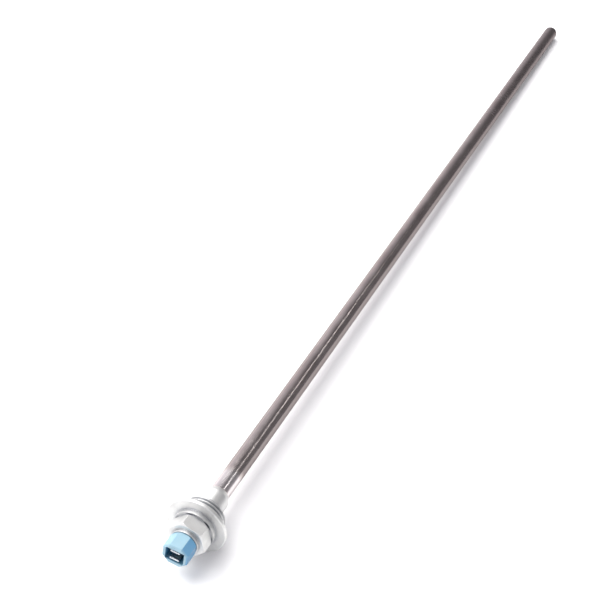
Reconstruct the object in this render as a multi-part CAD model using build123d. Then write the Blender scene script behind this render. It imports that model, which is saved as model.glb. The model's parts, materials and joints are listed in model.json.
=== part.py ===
from build123d import *
import math
import os

# A straight immersion heater that screws through a tank wall. The axis runs along X. The origin is
# on the axis, in the outer face of the sealing washer, where the tank wall sits. +X points to the
# tip in the water and -X to the electrical connector. +Z is up. Millimetres throughout.

# ---- driving dimensions -------------------------------------------------------------------------
# Sheath and tip
immersed_length = 608.0  # sealing face to the end of the tip
sheath_diameter = 10.0
sheath_wall = 0.8
tip_length = 5.0  # part of the cap that stands out of the tube
tip_corner_radius = 4.2
tip_spigot_length = 4.0  # part of the cap inside the tube

# Screw plug: rim, hexagon, round boss, flange and G 1/2 pipe thread
rim_diameter = 14.0
rim_length = 1.4  # round lip in front of the hexagon, where the connector sits
rim_edge = 0.3
hex_across_flats = 18.0
hex_length = 7.7
hex_turn = 13.6  # degrees, from a flat facing straight up towards -Y
hex_corner_cut = 1.25  # radial, turned off each corner
hex_front_chamfer = 0.8  # along the axis
hex_back_chamfer = 1.3
boss_diameter = 21.2
boss_length = 2.3
flange_diameter = 31.0
flange_thickness = 2.0
flange_edge = 0.35
thread_diameter = 20.955
thread_pitch = 1.814
thread_depth = 1.162
thread_reach = 7.4  # sealing face to the end of the thread
thread_relief = 0.9  # plain neck between flange and thread
thread_end_chamfer = 1.0
bore_margin = 0.6  # radial room round the sheath in the terminal chamber
chamber_depth = 8.4  # from the front of the hexagon
sheath_entry = 1.6  # how far the sheath stands into the chamber

# Sealing washer
washer_thickness = 1.2
washer_diameter = 27.0

# Neck collar and its braze
neck_wall = 1.6
neck_reach = 12.2  # past the end of the thread
neck_seat_depth = 5.0  # inside the screw plug
neck_bevel_length = 2.8
neck_bevel_depth = 1.2
braze_leg = 0.6

# Connector housing
housing_width = 12.9
housing_height = 12.4
housing_corner = 3.4  # legs of the corner cuts that make the octagon
housing_length = 9.1  # in front of the rim
housing_edge = 0.6
housing_back_cut = 0.75  # corners turned off where the housing meets the rim
socket_width = 9.4
socket_height = 7.6
socket_depth = 8.3
socket_corner = 0.5
spigot_length = 3.4  # part of the housing inside the rim and chamber
o_ring_section = 0.9
o_ring_inset = 1.6  # from the front of the rim to the middle of the ring

# Blades
blade_width = 4.8
blade_thickness = 0.8
blade_spacing = 4.9  # centre to centre
blade_recess = 0.1  # blade tip below the mouth of the socket
blade_lead = 0.25  # chamfer on the blade tip
tail_width = 2.6
tail_clear_of_sheath = 0.8

# Conductors
pin_diameter = 1.6
pin_overlap = 2.0  # of the pin under the blade's tail
return_diameter = 1.0
ferrule_wall = 0.3
ferrule_length = 7.0
wire_diameter = 0.6

# Insulation
magnesia_wall = 0.9
terminal_disc_thickness = 1.8
bush_length = 5.0
cold_length = 46.0  # two-bore ceramic behind the bush
mica_thickness = 0.8
core_segment_count = 5
core_joint = 0.05
link_thickness = 1.2
link_width = 1.4
coil_turns = 60
tip_insulator_length = 6.0

# Fits
nest_gap = 0.05  # radial, between a piece and the one that holds it
end_gap = 0.05  # along the axis, between pieces that stand end to end

# ---- places that follow from the dimensions ------------------------------------------------------
sheath_radius = sheath_diameter / 2
tube_bore = sheath_radius - sheath_wall
fill_radius = tube_bore - nest_gap
chamber_radius = sheath_radius + bore_margin
neck_radius = sheath_radius + neck_wall
thread_root_radius = thread_diameter / 2 - thread_depth

flange_back_x = -washer_thickness
flange_front_x = flange_back_x - flange_thickness
boss_front_x = flange_front_x - boss_length
hex_front_x = boss_front_x - hex_length
rim_front_x = hex_front_x - rim_length
chamber_floor_x = hex_front_x + chamber_depth
sheath_mouth_x = chamber_floor_x - sheath_entry
neck_end_x = thread_reach + neck_reach
sheath_end_x = immersed_length - tip_length

housing_front_x = rim_front_x - housing_length
socket_floor_x = housing_front_x + socket_depth
spigot_end_x = rim_front_x + spigot_length
o_ring_x = rim_front_x + o_ring_inset
disc_front_x = spigot_end_x + end_gap
disc_back_x = disc_front_x + terminal_disc_thickness
tail_end_x = sheath_mouth_x - tail_clear_of_sheath

blade_offset = blade_spacing / 2
pin_offset = blade_offset - blade_thickness / 2 - nest_gap - pin_diameter / 2
pin_start_x = tail_end_x - pin_overlap

bush_end_x = sheath_mouth_x + bush_length
cold_start_x = bush_end_x + end_gap
cold_end_x = cold_start_x + cold_length
mica_start_x = cold_end_x + end_gap
mica_end_x = mica_start_x + mica_thickness
ferrule_start_x = mica_end_x + end_gap
ferrule_end_x = ferrule_start_x + ferrule_length
neutral_pin_end_x = ferrule_start_x + ferrule_length / 2
live_link_start_x = ferrule_end_x + end_gap
live_link_end_x = live_link_start_x + link_thickness
core_start_x = live_link_end_x + end_gap

spigot_start_x = sheath_end_x - tip_spigot_length
insulator_end_x = spigot_start_x - end_gap
insulator_start_x = insulator_end_x - tip_insulator_length
return_link_end_x = insulator_start_x - end_gap
return_link_start_x = return_link_end_x - link_thickness
core_end_x = return_link_start_x - end_gap

wire_radius = wire_diameter / 2
coil_outer_radius = fill_radius - magnesia_wall - nest_gap
coil_radius = coil_outer_radius - wire_radius
core_radius = coil_radius - wire_radius - nest_gap
coil_start_x = core_start_x + wire_radius
coil_end_x = core_end_x - wire_radius

MIDDLE = (Align.CENTER, Align.CENTER, Align.MIN)


# ---- helpers --------------------------------------------------------------------------------------
def along_x(shape, start_x, z=0.0):
    """Lays a shape drawn along +Z down along +X, from start_x."""
    return Pos(start_x, 0, z) * Rot(0, 90, 0) * shape


def rod(radius, start_x, end_x, z=0.0):
    return along_x(Cylinder(radius, end_x - start_x, align=MIDDLE), start_x, z)


def sleeve(outer_radius, inner_radius, start_x, end_x):
    return rod(outer_radius, start_x, end_x) - rod(inner_radius, start_x, end_x)


def block(start_x, end_x, width, low_z, high_z):
    """A box across the axis, centred on Y = 0."""
    size = (end_x - start_x, width, high_z - low_z)
    return Pos(start_x, 0, low_z) * Box(*size, align=(Align.MIN, Align.CENTER, Align.MIN))


def turned(points):
    """A solid of revolution about X, from (x, radius) points in order."""
    outline = Polyline(*[(x, radius) for x, radius in points], close=True)
    return revolve(make_face(outline), Axis.X)


def pin_pair(radius, start_x, end_x):
    """The space of the two conductors, one above and one below the axis."""
    return rod(radius, start_x, end_x, pin_offset) + rod(radius, start_x, end_x, -pin_offset)


# ---- sheath ---------------------------------------------------------------------------------------
def sheath_tube():
    return sleeve(sheath_radius, tube_bore, sheath_mouth_x, sheath_end_x)


def tip_cap():
    nose = rod(sheath_radius, sheath_end_x, immersed_length)
    nose = fillet(nose.edges().sort_by(Axis.X)[-1], tip_corner_radius)
    return nose + rod(fill_radius, spigot_start_x, sheath_end_x)


def tip_insulator():
    return rod(fill_radius, insulator_start_x, insulator_end_x)


def magnesia_sleeve():
    return sleeve(fill_radius, fill_radius - magnesia_wall, mica_end_x, return_link_end_x)


# ---- heating element --------------------------------------------------------------------------------
def ceramic_core():
    """Short ceramic beads, end to end, each bored for the return conductor."""
    length = (core_end_x - core_start_x) / core_segment_count
    bore = return_diameter / 2 + nest_gap
    beads = []
    for index in range(core_segment_count):
        start_x = core_start_x + index * length
        end_x = start_x + length - core_joint
        bead = rod(core_radius, start_x, end_x) - rod(bore, start_x, end_x, -pin_offset)
        beads.append(bead)
    return Compound(children=beads)


def resistance_coil():
    """One wire wound on the core. Both ends lie above the axis, against the two links."""
    length = coil_end_x - coil_start_x
    pitch = length / coil_turns
    path = Helix(pitch=pitch, height=length, radius=coil_radius)
    section = Plane(origin=path @ 0, z_dir=path % 0) * Circle(wire_radius)
    wire = sweep(section, path, is_frenet=True)
    # A helix starts on its local +X, which along_x lays on -Z, so half a turn brings it on top.
    return along_x(Rot(0, 0, 180) * wire, coil_start_x)


def return_conductor():
    return rod(return_diameter / 2, neutral_pin_end_x + end_gap, return_link_end_x, -pin_offset)


def return_link():
    """Joins the far end of the coil to the return conductor."""
    low = -pin_offset - link_width / 2
    bar = block(return_link_start_x, return_link_end_x, link_width, low, coil_outer_radius)
    hole = rod(return_diameter / 2 + nest_gap, return_link_start_x, return_link_end_x, -pin_offset)
    return bar - hole


def live_link():
    """Joins the live pin to the near end of the coil, clear of the return conductor."""
    low = pin_offset - pin_diameter / 2 - ferrule_wall
    bar_width = pin_diameter + 2 * ferrule_wall
    bar = block(live_link_start_x, live_link_end_x, bar_width, low, coil_outer_radius - wire_radius)
    hole = rod(pin_diameter / 2 + nest_gap, live_link_start_x, live_link_end_x, pin_offset)
    return bar - hole


def neutral_ferrule():
    """Crimped over the neutral pin on one side and the thinner return conductor on the other."""
    body = rod(pin_diameter / 2 + ferrule_wall, ferrule_start_x, ferrule_end_x, -pin_offset)
    pin_side = rod(pin_diameter / 2 + nest_gap, ferrule_start_x, neutral_pin_end_x, -pin_offset)
    wire_side = rod(return_diameter / 2 + nest_gap, neutral_pin_end_x, ferrule_end_x, -pin_offset)
    return body - pin_side - wire_side


def live_pin():
    return rod(pin_diameter / 2, pin_start_x, live_link_end_x, pin_offset)


def neutral_pin():
    return rod(pin_diameter / 2, pin_start_x, neutral_pin_end_x, -pin_offset)


# ---- insulation round the conductors -------------------------------------------------------------
def cold_end_core():
    body = rod(fill_radius, cold_start_x, cold_end_x)
    return body - pin_pair(pin_diameter / 2 + nest_gap, cold_start_x, cold_end_x)


def mica_disc():
    body = rod(fill_radius, mica_start_x, mica_end_x)
    return body - pin_pair(pin_diameter / 2 + nest_gap, mica_start_x, mica_end_x)


def tube_seal_bush():
    body = rod(fill_radius, sheath_mouth_x, bush_end_x)
    return body - pin_pair(pin_diameter / 2 + nest_gap, sheath_mouth_x, bush_end_x)


def tail_slots(start_x, end_x):
    """The space of the two blade tails, with the nesting gap all round."""
    low = blade_offset - blade_thickness / 2 - nest_gap
    high = blade_offset + blade_thickness / 2 + nest_gap
    width = tail_width + 2 * nest_gap
    return block(start_x, end_x, width, low, high) + block(start_x, end_x, width, -high, -low)


def terminal_insulator():
    body = rod(chamber_radius - nest_gap, disc_front_x, disc_back_x)
    return body - tail_slots(disc_front_x, disc_back_x)


def potting_compound():
    """Resin between the terminal insulator and the chamber floor, round the sheath's mouth."""
    start_x = disc_back_x + end_gap
    body = rod(chamber_radius - nest_gap, start_x, chamber_floor_x)
    body -= rod(sheath_radius + nest_gap, sheath_mouth_x, chamber_floor_x)
    body -= pin_pair(pin_diameter / 2 + nest_gap, start_x, sheath_mouth_x)
    return body - tail_slots(start_x, tail_end_x + end_gap)


# ---- screw plug and what seals it --------------------------------------------------------------------
def hexagon():
    """Hexagon with its corners turned off at both ends."""
    corner_radius = hex_across_flats / math.sqrt(3)
    prism = extrude(RegularPolygon(corner_radius, 6), hex_length)
    # A corner of the polygon starts on local +X, which points down once laid along the axis.
    prism = along_x(Rot(0, 0, 30 + hex_turn) * prism, hex_front_x)
    trim = turned([
        (hex_front_x, 0),
        (hex_front_x, corner_radius - hex_corner_cut),
        (hex_front_x + hex_front_chamfer, corner_radius),
        (boss_front_x - hex_back_chamfer, corner_radius),
        (boss_front_x, corner_radius - hex_corner_cut),
        (boss_front_x, 0),
    ])
    return prism & trim


def rim():
    lip = rod(rim_diameter / 2, rim_front_x, hex_front_x)
    return fillet(lip.edges().sort_by(Axis.X)[0], rim_edge)


def pipe_thread():
    """The helical ridge alone, cut to the plug's thread length with a lead-in at each end."""
    start_x = flange_back_x + thread_relief
    run_out = thread_pitch
    height = thread_reach - start_x + 2 * run_out
    buried = 0.15
    half_root = thread_pitch * 0.46
    half_crest = thread_pitch * 0.11
    path = Helix(pitch=thread_pitch, height=height, radius=thread_root_radius)
    ridge_outline = Polyline(
        (-buried, -half_root),
        (0, -half_root),
        (thread_depth, -half_crest),
        (thread_depth, half_crest),
        (0, half_root),
        (-buried, half_root),
        close=True,
    )
    section = Plane(origin=path @ 0, x_dir=(1, 0, 0), z_dir=path % 0) * make_face(ridge_outline)
    ridge = along_x(sweep(section, path, is_frenet=True), start_x - run_out)
    crest = thread_diameter / 2
    spare = 0.5
    envelope = turned([
        (start_x, 0),
        (start_x, thread_root_radius),
        (start_x + thread_depth + spare, crest + spare),
        (thread_reach - thread_end_chamfer - spare, crest + spare),
        (thread_reach, crest - thread_end_chamfer),
        (thread_reach, 0),
    ])
    return ridge & envelope


def screw_plug():
    flange = rod(flange_diameter / 2, flange_front_x, flange_back_x)
    flange = chamfer(flange.edges(), flange_edge)
    body = rim() + hexagon() + rod(boss_diameter / 2, boss_front_x, flange_front_x) + flange
    body += rod(thread_root_radius, flange_back_x, thread_reach)
    body += pipe_thread()
    body -= rod(chamber_radius, rim_front_x, chamber_floor_x)
    body -= rod(sheath_radius + nest_gap, chamber_floor_x, thread_reach)
    return body - rod(neck_radius + nest_gap, thread_reach - neck_seat_depth, thread_reach)


def sealing_washer():
    return sleeve(washer_diameter / 2, thread_diameter / 2 + nest_gap, flange_back_x, 0)


def neck_collar():
    bore = sheath_radius + nest_gap
    start_x = thread_reach - neck_seat_depth
    return turned([
        (start_x, bore),
        (start_x, neck_radius),
        (neck_end_x - neck_bevel_length, neck_radius),
        (neck_end_x, neck_radius - neck_bevel_depth),
        (neck_end_x, bore),
    ])


def braze_ring():
    """Bead of solder in the corner between the collar's end and the sheath."""
    bore = sheath_radius + nest_gap
    return turned([
        (neck_end_x, bore),
        (neck_end_x, neck_radius - neck_bevel_depth),
        (neck_end_x + braze_leg, bore),
    ])


# ---- connector ---------------------------------------------------------------------------------------
def octagon_body():
    """Eight-sided body, wider than high, with eased front edges and its back corners turned off."""
    outline = Rectangle(housing_height, housing_width)
    outline = chamfer(outline.vertices(), housing_corner)
    body = along_x(extrude(outline, housing_length), housing_front_x)
    body = chamfer(body.edges().group_by(Axis.X)[0], housing_edge)
    corner_radius = math.hypot(housing_width / 2, housing_height / 2 - housing_corner)
    trim = turned([
        (housing_front_x, 0),
        (housing_front_x, corner_radius),
        (rim_front_x - housing_back_cut, corner_radius),
        (rim_front_x, corner_radius - housing_back_cut),
        (rim_front_x, 0),
    ])
    return body & trim


def connector_housing():
    spigot_radius = chamber_radius - nest_gap
    body = octagon_body() + rod(spigot_radius, rim_front_x, spigot_end_x)
    mouth = fillet(Rectangle(socket_height, socket_width).vertices(), socket_corner)
    body -= along_x(extrude(mouth, socket_depth), housing_front_x)
    body -= tail_slots(socket_floor_x, spigot_end_x)
    half_groove = o_ring_section / 2 + nest_gap
    groove_floor = spigot_radius - o_ring_section - nest_gap
    return body - sleeve(chamber_radius, groove_floor, o_ring_x - half_groove, o_ring_x + half_groove)


def connector_o_ring():
    """Seals the housing's spigot against the chamber wall."""
    ring_radius = chamber_radius - nest_gap - o_ring_section / 2
    return along_x(Torus(ring_radius, o_ring_section / 2), o_ring_x)


def blade(side):
    """Flat blade in the socket, with a narrower tail that lies on its pin. side is +1 or -1."""
    tip_x = housing_front_x + blade_recess
    middle = side * blade_offset
    low = middle - blade_thickness / 2
    high = middle + blade_thickness / 2
    front = block(tip_x, socket_floor_x, blade_width, low, high)
    front = chamfer(front.edges().group_by(Axis.X)[0], blade_lead)
    return front + block(socket_floor_x, tail_end_x, tail_width, low, high)


def blade_live():
    return blade(1)


def blade_neutral():
    return blade(-1)


# ---- output ----------------------------------------------------------------------------------------
PIECES = [
    sheath_tube,
    tip_cap,
    tip_insulator,
    magnesia_sleeve,
    ceramic_core,
    resistance_coil,
    return_conductor,
    return_link,
    live_link,
    neutral_ferrule,
    live_pin,
    neutral_pin,
    cold_end_core,
    mica_disc,
    tube_seal_bush,
    terminal_insulator,
    potting_compound,
    screw_plug,
    sealing_washer,
    neck_collar,
    braze_ring,
    connector_housing,
    connector_o_ring,
    blade_live,
    blade_neutral,
]


def main():
    os.makedirs("parts", exist_ok=True)
    for piece in PIECES:
        solids = piece().solids()
        whole = solids[0] if len(solids) == 1 else Compound(children=solids)
        whole.label = piece.__name__
        export_step(whole, f"parts/{piece.__name__}.step")


main()
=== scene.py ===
import json
import math

import bpy
from mathutils import Euler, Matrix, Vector


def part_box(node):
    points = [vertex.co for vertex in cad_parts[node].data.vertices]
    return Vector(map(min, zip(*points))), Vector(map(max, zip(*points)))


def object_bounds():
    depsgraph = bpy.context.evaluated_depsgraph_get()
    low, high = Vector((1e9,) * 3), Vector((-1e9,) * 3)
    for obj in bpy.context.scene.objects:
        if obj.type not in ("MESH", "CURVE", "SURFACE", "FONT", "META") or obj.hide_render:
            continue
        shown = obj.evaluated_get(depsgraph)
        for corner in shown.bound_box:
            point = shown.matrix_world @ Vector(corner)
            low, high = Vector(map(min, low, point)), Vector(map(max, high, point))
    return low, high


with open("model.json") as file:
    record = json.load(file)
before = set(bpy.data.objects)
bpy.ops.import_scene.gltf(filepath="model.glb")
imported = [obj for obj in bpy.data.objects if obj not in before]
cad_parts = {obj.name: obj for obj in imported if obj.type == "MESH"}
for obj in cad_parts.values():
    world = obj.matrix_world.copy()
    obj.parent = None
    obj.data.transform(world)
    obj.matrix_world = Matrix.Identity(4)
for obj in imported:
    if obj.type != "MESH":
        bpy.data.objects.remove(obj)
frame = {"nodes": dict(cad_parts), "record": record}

cad_low, cad_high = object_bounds()

# ---- camera and studio ---------------------------------------------------------------------------
# The camera looks along the rod from above and behind the connector. Metres and degrees.
CAMERA_PLACE = Vector((-0.37475, -0.14665, 0.46714))
CAMERA_TURN = (50.491, -8.677, -65.257)
CAMERA_LENS = 78.0  # millimetres
CAMERA_SENSOR = 36.0  # millimetres

FLOOR_SIZE = 30.0
FLOOR_GAP = 0.00005  # the rim and the tip just clear the floor

KEY_PLACE = Vector(((cad_low.x + cad_high.x) / 2 - 0.1, 1.25, 2.1))
KEY_SIZE = (2.9, 2.4)
KEY_POWER = 98.0
KEY_COLOR = (1.0, 0.99, 0.975)
STRIP_PLACE = Vector((1.2, -0.775, 1.25))
STRIP_SIZE = (1.5, 0.025)
STRIP_POWER = 1.3

WORLD_STRENGTH = 1.22
WORLD_TINT = (0.96, 0.947, 1.0)
WORLD_SEEN = (0.8, 0.8, 0.81)  # where the camera sees the surroundings directly
WORLD_SIDE_X = 0.15  # a direction with a smaller x looks beside the rod
WORLD_AHEAD_X = 0.55  # and one with a larger x looks ahead along it
# Brightness of the surroundings, as (degrees from +Z towards +Y, level).
WORLD_AHEAD = [
    (-100, 0.62),
    (-80, 0.33),
    (-55, 0.19),
    (-25, 0.17),
    (0, 0.20),
    (15, 0.32),
    (40, 0.58),
    (68, 0.85),
    (100, 1.2),
]
WORLD_BESIDE = [
    (-100, 0.75),
    (-60, 0.50),
    (-20, 0.50),
    (20, 0.85),
    (60, 1.05),
    (100, 1.1),
]

# ---- places on the object, from the frame ---------------------------------------------------------
plug_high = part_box("screw_plug")[1]
washer_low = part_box("sealing_washer")[0]
collar_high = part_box("neck_collar")[1]
tube_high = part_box("sheath_tube")[1]
tip_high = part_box("tip_cap")[1]

FLANGE_RADIUS = plug_high.z
ROD_RADIUS = tube_high.z
FLANGE_X = washer_low.x
BRIGHT_LENGTH = 0.0185  # of the rod, from the collar to where it is all brown
HEAT_TINT_LENGTH = 0.006  # the end of that stretch, over which the brown comes in
HOT_START_X = collar_high.x + BRIGHT_LENGTH
FAR_START_X = 0.30  # from here painted shade darkens the rod
FAR_END_X = 0.60  # and here the painted shade is darkest
RAGGED_LENGTH = 0.004  # how far the edge of the brown wanders along the rod
# Painted shade on the sides of the rod: y where each starts and where it is full, in radii, and its
# strength.
RIGHT_SIDE_SHADE = (-0.5, -0.85, 0.75)
LEFT_SIDE_SHADE = (0.6, 0.95, 0.45)


# ---- node helpers -------------------------------------------------------------------------------
RAY_SAMPLES = 6  # for the nodes that look round a point


def opaque(color):
    """A colour with its alpha. A node's output is passed on as it is."""
    return color if isinstance(color, bpy.types.NodeSocket) else (*color, 1.0)


class Nodes:
    """Short calls that add nodes to one tree. Each value is a constant or a node's output."""

    def __init__(self, tree):
        self.tree = tree

    def feed(self, socket, value):
        """Gives an input socket a constant, or links a node's output to it."""
        if isinstance(value, bpy.types.NodeSocket):
            self.tree.links.new(value, socket)
        else:
            socket.default_value = value

    def add(self, kind, inputs=None, **settings):
        node = self.tree.nodes.new(kind)
        for name, value in settings.items():
            setattr(node, name, value)
        for key, value in (inputs or {}).items():
            self.feed(node.inputs[key], value)
        return node

    def math(self, operation, a, b=0.0):
        return self.add("ShaderNodeMath", {0: a, 1: b}, operation=operation).outputs[0]

    def split(self, vector):
        """The x, y and z of a vector."""
        return self.add("ShaderNodeSeparateXYZ", {0: vector}).outputs

    def range(self, value, low, high, to_low=0.0, to_high=1.0):
        """Maps low..high onto to_low..to_high, and stops at the ends."""
        inputs = {0: value, 1: low, 2: high, 3: to_low, 4: to_high}
        return self.add("ShaderNodeMapRange", inputs).outputs[0]

    def mix(self, factor, a, b):
        """Blends from colour a to colour b."""
        inputs = {0: factor, 6: opaque(a), 7: opaque(b)}
        return self.add("ShaderNodeMix", inputs, data_type="RGBA").outputs[2]

    def ramp(self, value, stops):
        """A colour ramp from (position, colour) stops."""
        node = self.add("ShaderNodeValToRGB", {0: value})
        elements = node.color_ramp.elements
        while len(elements) < len(stops):
            elements.new(1.0)
        for element, (position, color) in zip(elements, stops):
            element.position = position
            element.color = (*color, 1.0)
        return node.outputs[0]


class Shader(Nodes):
    """A material with one Principled shader."""

    def __init__(self, name, color, roughness, metallic=0.0, **sockets):
        self.material = bpy.data.materials.new(name)
        self.material.use_nodes = True
        super().__init__(self.material.node_tree)
        self.shader = self.tree.nodes["Principled BSDF"]
        self.set("Base Color", (*color, 1.0))
        self.set("Metallic", metallic)
        self.set("Roughness", roughness)
        for socket, value in sockets.items():
            self.set(socket.replace("_", " "), value)
        coordinates = self.add("ShaderNodeTexCoord").outputs
        self.place = coordinates["Object"]
        self.facing = coordinates["Normal"]

    def set(self, socket, value):
        self.feed(self.shader.inputs[socket], value)

    def stretched(self, x, y, z):
        """Object coordinates with each axis scaled, to stretch a pattern along another."""
        scale = {"Vector": self.place, "Scale": (x, y, z)}
        return self.add("ShaderNodeMapping", scale).outputs[0]

    def turned(self):
        """Coordinates (x, distance from the axis, 0): a pattern in them runs in rings."""
        x, y, z = self.split(self.place)
        squares = self.math("ADD", self.math("MULTIPLY", y, y), self.math("MULTIPLY", z, z))
        return self.add("ShaderNodeCombineXYZ", {0: x, 1: self.math("SQRT", squares)}).outputs[0]

    def noise(self, vector, scale, detail, roughness=0.55, distortion=0.0):
        inputs = {
            "Vector": vector,
            "Scale": scale,
            "Detail": detail,
            "Roughness": roughness,
            "Distortion": distortion,
        }
        return self.add("ShaderNodeTexNoise", inputs).outputs[0]

    def soft_edges(self, radius):
        """The normal with every edge rounded, and a mask that is 1 on those edges."""
        soft = self.add("ShaderNodeBevel", {"Radius": radius}, samples=RAY_SAMPLES).outputs[0]
        hard = self.add("ShaderNodeNewGeometry").outputs["Normal"]
        match = self.add("ShaderNodeVectorMath", {0: soft, 1: hard}, operation="DOT_PRODUCT")
        return soft, self.range(match.outputs["Value"], 0.995, 0.88)

    def openness(self, reach):
        """A mask that is 0 in crevices, where other surfaces within reach close a point in. The materials
        paint shade with it.
        """
        node = self.add("ShaderNodeAmbientOcclusion", {"Distance": reach}, samples=RAY_SAMPLES)
        return self.range(node.outputs["AO"], 0.25, 0.85)

    def bump(self, height, distance, strength, under=None):
        inputs = {"Height": height, "Distance": distance, "Strength": strength}
        if under is not None:
            inputs["Normal"] = under
        return self.add("ShaderNodeBump", inputs).outputs[0]


# ---- materials ----------------------------------------------------------------------------------
def oxidised_steel():
    """Drawn stainless tube: bright by the collar, then brown-grey; painted shade darkens its sides and tip.
    """
    made = Shader(
        "oxidised_steel",
        (0.46, 0.40, 0.395),
        metallic=1.0,
        roughness=0.2,
        Specular_Tint=(0.6, 0.57, 0.57, 1.0),
    )
    x, y, _ = made.split(made.place)
    mottle = made.noise(made.stretched(1, 2.5, 2.5), 60, detail=6)
    patch = made.noise(made.stretched(1, 1.5, 1.5), 22, detail=2)
    streak = made.noise(made.stretched(6, 900, 900), 1.0, detail=3)
    worn = made.noise(made.place, 420, detail=5)

    warm = made.mix(made.range(mottle, 0.3, 0.7), (0.35, 0.293, 0.284), (0.47, 0.412, 0.40))
    cool = made.mix(made.range(patch, 0.4, 0.65, 0.0, 0.25), warm, (0.43, 0.405, 0.39))
    streaked = made.mix(made.range(streak, 0.35, 0.7, 0.0, 0.3), cool, (0.52, 0.47, 0.46))
    # Painted shade: the base colour darkens towards the tip.
    far = made.range(x, FAR_START_X, FAR_END_X)
    tip_shaded = made.mix(made.math("MULTIPLY", far, 0.58), streaked, (0.19, 0.17, 0.175))
    # Painted shade: the base colour darkens on both sides of the rod, towards -Y and towards +Y.
    right_shade, left_shade = [
        made.range(y, start * ROD_RADIUS, full * ROD_RADIUS, 0.0, strength)
        for start, full, strength in (RIGHT_SIDE_SHADE, LEFT_SIDE_SHADE)
    ]
    # The brown of the rod, with the painted shade on its sides.
    brown = made.mix(made.math("MAXIMUM", right_shade, left_shade), tip_shaded, (0.20, 0.175, 0.17))

    ragged = made.math("MULTIPLY", made.math("SUBTRACT", mottle, 0.5), RAGGED_LENGTH)
    heat = made.range(made.math("ADD", x, ragged), HOT_START_X - HEAT_TINT_LENGTH, HOT_START_X)
    tint = made.ramp(heat, [
        (0.0, (0.74, 0.69, 0.685)),
        (0.45, (0.66, 0.60, 0.57)),
        (0.8, (0.50, 0.42, 0.41)),
        (1.0, (0.44, 0.37, 0.365)),
    ])
    made.set("Base Color", made.mix(heat, tint, brown))
    polish = made.range(made.math("ADD", mottle, worn), 0.7, 1.3, 0.13, 0.24)
    made.set("Roughness", made.math("ADD", polish, made.math("MULTIPLY", far, 0.12)))
    made.set("Normal", made.bump(streak, 0.00003, 0.12, under=made.bump(worn, 0.00003, 0.06)))
    return made.material


def turned_steel():
    """Satin turned steel: fine tool rings, scratches, painted shade in the crevices, polished edges."""
    made = Shader("turned_steel", (0.78, 0.78, 0.80), metallic=1.0, roughness=0.4)
    soft, edge = made.soft_edges(0.00025)
    rings = made.noise(made.turned(), 2600, detail=3, roughness=0.6)
    smudge = made.noise(made.place, 130, detail=5)
    scratch = made.noise(made.stretched(900, 120, 160), 1.0, detail=2, distortion=1.5)
    shade = made.mix(made.range(smudge, 0.35, 0.7), (0.72, 0.72, 0.705), (0.61, 0.61, 0.60))
    marked = made.mix(made.range(scratch, 0.66, 0.75, 0.0, 0.4), shade, (0.44, 0.44, 0.46))
    # Painted shade: a dark bluish colour in the crevices and close to other surfaces.
    crevice_shaded = made.mix(made.openness(0.0035), (0.22, 0.235, 0.27), marked)
    made.set("Base Color", made.mix(made.math("MULTIPLY", edge, 0.35), crevice_shaded, (0.9, 0.9, 0.91)))
    satin = made.range(made.math("ADD", smudge, rings), 0.7, 1.3, 0.38, 0.54)
    made.set("Roughness", made.math("SUBTRACT", satin, made.math("MULTIPLY", edge, 0.15)))
    scored = made.bump(scratch, 0.00002, 0.2, under=soft)
    made.set("Normal", made.bump(rings, 0.00003, 0.3, under=scored))
    return made.material


def braze():
    """The lumpy solder bead between collar and rod."""
    made = Shader("braze", (0.66, 0.62, 0.55), metallic=1.0, roughness=0.4)
    lumps = made.noise(made.place, 900, detail=4)
    made.set("Base Color", made.mix(lumps, (0.55, 0.5, 0.44), (0.78, 0.75, 0.7)))
    made.set("Normal", made.bump(lumps, 0.0002, 0.5))
    return made.material


def seal_fibre():
    """Pressed fibre washer, pale, with short fibres and a slightly rough face."""
    made = Shader("seal_fibre", (0.74, 0.73, 0.75), roughness=0.75)
    fibres = made.noise(made.stretched(1, 1, 4), 700, detail=5, distortion=2.0)
    made.set("Base Color", made.mix(fibres, (0.62, 0.61, 0.63), (0.82, 0.81, 0.83)))
    made.set("Normal", made.bump(fibres, 0.0001, 0.5))
    return made.material


def blue_plastic():
    """Light blue moulded plastic; painted shade deepens the -Y side and the socket, painted sheen pales the
    rest.
    """
    made = Shader(
        "blue_plastic",
        (0.33, 0.62, 0.80),
        roughness=0.36,
        Subsurface_Weight=0.04,
        Subsurface_Scale=0.001,
        IOR=1.5,
    )
    soft, edge = made.soft_edges(0.0003)
    flow = made.noise(made.stretched(0.4, 1, 1), 180, detail=4)
    grain = made.noise(made.place, 3200, detail=2)
    rub = made.noise(made.stretched(1, 3, 0.6), 700, detail=3, distortion=1.0)
    # Painted light: a deeper blue shade on faces towards -Y, a paler sheen on the others.
    lit_side = made.range(made.split(made.facing)[1], -0.75, -0.35)
    shade_blue = made.mix(flow, (0.105, 0.30, 0.50), (0.135, 0.34, 0.55))
    sheen_blue = made.mix(flow, (0.235, 0.39, 0.475), (0.28, 0.44, 0.52))
    blue = made.mix(lit_side, shade_blue, sheen_blue)
    rubbed = made.mix(made.range(rub, 0.66, 0.8, 0.0, 0.35), blue, (0.38, 0.54, 0.62))
    edged = made.mix(made.math("MULTIPLY", edge, 0.45), rubbed, (0.46, 0.62, 0.70))
    # Painted shade: dark blue in the socket and other crevices.
    shaded = made.mix(made.openness(0.007), (0.009, 0.12, 0.23), edged)
    made.set("Base Color", shaded)
    made.set("Roughness", made.range(made.math("ADD", flow, rub), 0.7, 1.3, 0.28, 0.45))
    made.set("Normal", made.bump(grain, 0.00003, 0.35, under=soft))
    return made.material


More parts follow.
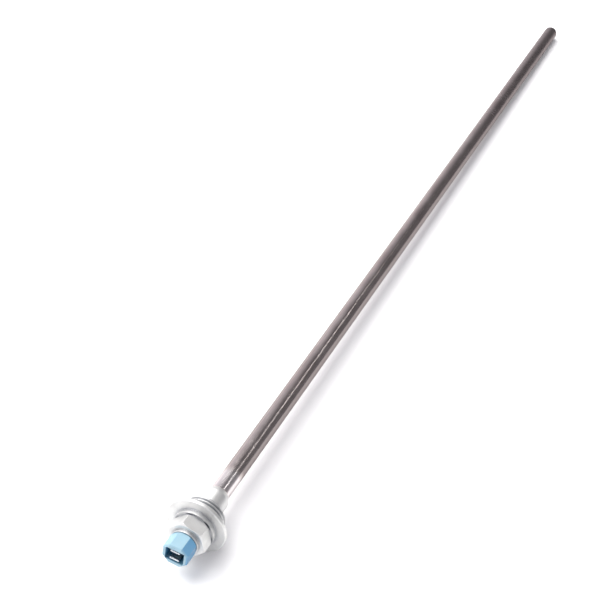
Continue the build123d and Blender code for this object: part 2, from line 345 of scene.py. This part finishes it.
def blade_metal():
    """Tin-plated brass blades, rubbed along their length by the plug."""
    made = Shader("blade_metal", (0.88, 0.87, 0.84), metallic=1.0, roughness=0.3)
    soft, edge = made.soft_edges(0.00015)
    rub = made.noise(made.stretched(40, 1500, 1500), 1.0, detail=3)
    plated = made.mix(made.range(rub, 0.4, 0.7, 0.0, 0.6), (0.66, 0.70, 0.74), (0.52, 0.54, 0.56))
    made.set("Base Color", made.mix(edge, plated, (0.76, 0.79, 0.82)))
    made.set("Roughness", made.range(rub, 0.3, 0.7, 0.25, 0.4))
    made.set("Normal", made.bump(rub, 0.00003, 0.3, under=soft))
    return made.material


def streaked_metal(name, dark, light, roughness):
    """Drawn wire or pin stock, with streaks along the axis."""
    made = Shader(name, light, metallic=1.0, roughness=roughness)
    streak = made.noise(made.stretched(20, 1400, 1400), 1.0, detail=3)
    made.set("Base Color", made.mix(streak, dark, light))
    made.set("Normal", made.bump(streak, 0.00003, 0.3))
    return made.material


def grainy(name, dark, light, roughness, scale, depth):
    """Ceramic, powder, mica, rubber or resin: a mottled colour over a fine grain."""
    made = Shader(name, light, roughness=roughness)
    patches = made.noise(made.place, scale * 0.2, detail=3)
    grain = made.noise(made.place, scale, detail=5)
    made.set("Base Color", made.mix(patches, dark, light))
    made.set("Roughness", made.range(grain, 0.3, 0.7, roughness * 0.85, min(1.0, roughness * 1.15)))
    made.set("Normal", made.bump(grain, depth, 0.5))
    return made.material


def make_materials():
    return {
        "oxidised_steel": oxidised_steel(),
        "turned_steel": turned_steel(),
        "braze": braze(),
        "seal_fibre": seal_fibre(),
        "blue_plastic": blue_plastic(),
        "blade_metal": blade_metal(),
        "black_rubber": grainy("black_rubber", (0.02, 0.02, 0.02), (0.05, 0.05, 0.05), 0.6, 1500, 0.00005),
        "lead_metal": streaked_metal("lead_metal", (0.5, 0.47, 0.42), (0.72, 0.70, 0.66), 0.3),
        "resistance_wire": streaked_metal("resistance_wire", (0.16, 0.14, 0.12), (0.34, 0.31, 0.28), 0.5),
        "white_ceramic": grainy("white_ceramic", (0.78, 0.76, 0.70), (0.90, 0.89, 0.86), 0.6, 900, 0.00005),
        "magnesia": grainy("magnesia", (0.72, 0.70, 0.65), (0.88, 0.87, 0.83), 0.9, 1400, 0.0001),
        "mica": grainy("mica", (0.45, 0.36, 0.22), (0.74, 0.66, 0.48), 0.35, 500, 0.00004),
        "silicone": grainy("silicone", (0.55, 0.54, 0.52), (0.72, 0.71, 0.69), 0.55, 1100, 0.00004),
        "resin": grainy("resin", (0.05, 0.045, 0.04), (0.12, 0.10, 0.09), 0.25, 600, 0.00003),
    }


def dress_nodes():
    """Gives every CAD node the material of its slot in the record."""
    materials = make_materials()
    slots = {row["node"]: row["material_slot"] for row in frame["record"]["subparts"]}
    for name, node in frame["nodes"].items():
        node.data.materials.clear()
        node.data.materials.append(materials[slots[name]])


# ---- floor, lights and camera ---------------------------------------------------------------------
def lean():
    """The rod rests on the flange's rim and its own tip, so the floor rises towards the tip."""
    run = tip_high.x - ROD_RADIUS - FLANGE_X
    return math.atan2(FLANGE_RADIUS - ROD_RADIUS, run)


def make_floor():
    bpy.ops.mesh.primitive_plane_add(size=FLOOR_SIZE)
    floor = bpy.context.object
    floor.name = "studio_floor"
    floor.rotation_euler = (0, -lean(), 0)
    drop = FLANGE_RADIUS / math.cos(lean()) + FLOOR_GAP
    floor.location = (FLANGE_X + drop * math.sin(lean()), 0, -drop * math.cos(lean()))
    made = Shader("studio_floor", (0.93, 0.93, 0.93), roughness=0.9, Specular_IOR_Level=0.1)
    paper = made.noise(made.place, 40, detail=3)
    made.set("Base Color", made.mix(paper, (0.92, 0.92, 0.925), (0.94, 0.94, 0.94)))
    floor.data.materials.append(made.material)


def area_light(name, place, size, power, color=(1, 1, 1)):
    """A rectangular light that aims at the middle of the object."""
    data = bpy.data.lights.new(name, "AREA")
    data.shape = "RECTANGLE"
    data.size, data.size_y = size
    data.energy = power
    data.color = color
    light = bpy.data.objects.new(name, data)
    bpy.context.scene.collection.objects.link(light)
    light.location = place
    light.rotation_mode = "QUATERNION"
    light.rotation_quaternion = ((cad_low + cad_high) / 2 - place).to_track_quat("-Z", "Y")


def make_world():
    """Surroundings that change round the X axis, with a dark gap over the rod ahead, towards +X.

    Each ramp runs from -Z through -Y, +Z and +Y back to -Z.
    """
    world = bpy.data.worlds.new("studio")
    bpy.context.scene.world = world
    world.use_nodes = True
    nodes = Nodes(world.node_tree)
    x, y, z = nodes.split(nodes.add("ShaderNodeTexCoord").outputs["Generated"])
    turn = nodes.range(nodes.math("ARCTAN2", y, z), -math.pi, math.pi)

    def round_axis(levels):
        stops = []
        for degrees, level in levels:
            stops.append((degrees / 360 + 0.5, [part * level for part in WORLD_TINT]))
        return nodes.ramp(turn, stops)

    ahead = nodes.range(x, WORLD_SIDE_X, WORLD_AHEAD_X)
    surroundings = nodes.mix(ahead, round_axis(WORLD_BESIDE), round_axis(WORLD_AHEAD))
    seen = nodes.add("ShaderNodeLightPath").outputs["Is Camera Ray"]
    background = nodes.tree.nodes["Background"].inputs
    nodes.feed(background["Color"], nodes.mix(seen, surroundings, WORLD_SEEN))
    nodes.feed(background["Strength"], WORLD_STRENGTH)


def make_lights():
    area_light("key", KEY_PLACE, KEY_SIZE, KEY_POWER, KEY_COLOR)
    area_light("strip", STRIP_PLACE, STRIP_SIZE, STRIP_POWER)


def make_camera():
    data = bpy.data.cameras.new("camera")
    data.lens = CAMERA_LENS
    data.sensor_width = CAMERA_SENSOR
    data.clip_start = 0.01
    data.clip_end = 100.0
    camera = bpy.data.objects.new("camera", data)
    bpy.context.scene.collection.objects.link(camera)
    camera.location = CAMERA_PLACE
    camera.rotation_euler = Euler([math.radians(angle) for angle in CAMERA_TURN], "XYZ")
    bpy.context.scene.camera = camera
    bpy.context.scene.view_settings.view_transform = "Standard"


make_camera()
dress_nodes()
make_floor()
make_world()
make_lights()
